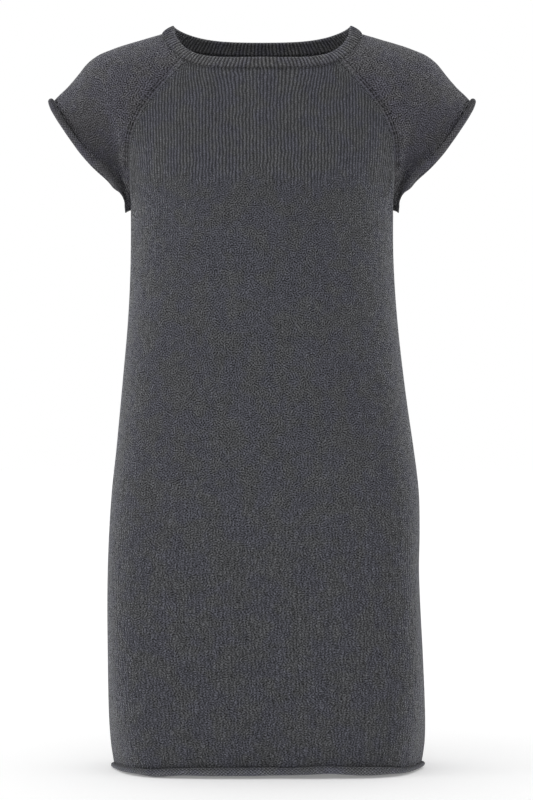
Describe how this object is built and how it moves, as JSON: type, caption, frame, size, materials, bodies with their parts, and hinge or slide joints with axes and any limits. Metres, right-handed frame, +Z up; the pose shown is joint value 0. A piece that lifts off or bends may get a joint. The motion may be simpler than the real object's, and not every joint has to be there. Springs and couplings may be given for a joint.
{
  "type": "sweater dress",
  "caption": "Knitted sweater dress with raglan cap sleeves, ribbed round neckband and rolled cuffs and hem, filled out as if worn.",
  "frame": {"origin": "middle of the neck opening, level with the foot of the neckband on the shoulders, where the wearer's shoulders hold the dress up", "axes": "+Z up along the body, -Y towards the front, +X to the right as seen from the front"},
  "size_m": [0.4918, 0.2436, 0.8523],
  "materials": {
    "knit": "soft heathered plain knit, matte, slightly napped",
    "sleeve_knit": "soft heathered plain knit, matte, slightly napped",
    "rib_knit": "one-by-one rib knit, matte"
  },
  "bodies": {
    "root": {"front": "knit", "back": "knit", "sleeve_right": "sleeve_knit", "sleeve_left": "sleeve_knit", "neckband": "rib_knit"}
  },
  "joints": []
}
